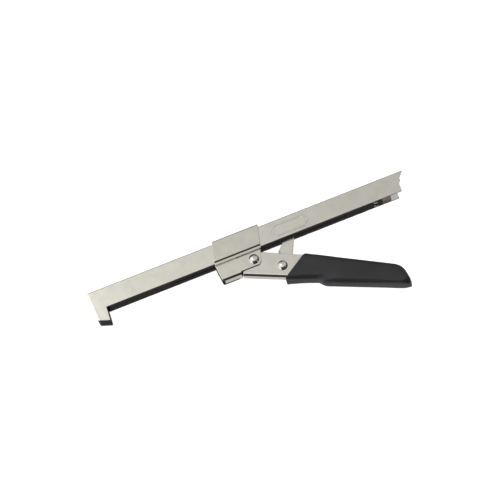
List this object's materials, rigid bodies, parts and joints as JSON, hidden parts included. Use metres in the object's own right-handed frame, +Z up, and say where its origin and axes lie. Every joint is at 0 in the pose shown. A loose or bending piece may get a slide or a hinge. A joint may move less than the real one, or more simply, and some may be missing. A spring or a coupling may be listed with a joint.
{
  "type": "sliding-jaw lid opener",
  "caption": "Plated steel hand tool: hooked bar, sliding jaw with a folded sleeve, and a grip lever whose strut pushes the jaw along the bar to clamp a lid.",
  "frame": {"origin": "centre of the bounding box in X and Y, on the plane the tool lies on, with the tool lying on its side", "axes": "+X along the bar from the hook to the rear end, +Y towards the bar's closed top edge (the lever is on -Y), +Z up across the tool's width"},
  "size_m": [0.28, 0.0965, 0.0198],
  "materials": {
    "plated_steel": "bright nickel plate",
    "jaw_steel": "dark hardened steel",
    "rail_steel": "bright nickel plate, dark inside the channel",
    "rivet_steel": "polished nickel plate",
    "spring_steel": "spring wire",
    "grip_vinyl": "soft matte vinyl"
  },
  "bodies": {
    "bar": {"main_bar": "plated_steel", "slot_rail": "rail_steel", "ratchet_rack": "rail_steel", "fixed_jaw_pad": "jaw_steel", "tail_clip": "plated_steel", "tail_rivet_near": "rivet_steel", "tail_rivet_far": "rivet_steel", "stop_pin": "plated_steel"},
    "carriage": {"slide_sleeve": "plated_steel", "jaw_bracket": "plated_steel", "moving_jaw_pad": "jaw_steel", "pivot_rivet": "rivet_steel"},
    "lever": {"lever_channel": "plated_steel", "grip_sleeve": "grip_vinyl", "link_rivet": "rivet_steel", "pivot_bush": "rivet_steel", "spacer_near": "rivet_steel", "spacer_far": "rivet_steel", "return_spring": "spring_steel"},
    "pawl": {"pawl_plate": "plated_steel"}
  },
  "joints": [
    {"name": "carriage_slide", "type": "slide", "parent": "bar", "child": "carriage", "axis": [1, 0, 0], "range_m": [-0.092, 0.032]},
    {"name": "lever_squeeze", "type": "hinge", "parent": "carriage", "child": "lever", "pos_m": [-0.00045, 0.02136, 0.0099], "axis": [0, 0, 1], "range_deg": [0, 20], "stiffness_Nm_per_rad": 0.25, "springref_deg": -20.05, "deforming": ["return_spring"]},
    {"name": "pawl_swing", "type": "hinge", "parent": "lever", "child": "pawl", "pos_m": [0.01955, 0.00776, 0.0099], "axis": [0, 0, 1], "range_deg": [-38, 0], "deforming": ["return_spring"]}
  ],
  "couplings": [
    {"joint": "pawl_swing", "follows": "lever_squeeze", "ratio": -1.862}
  ]
}
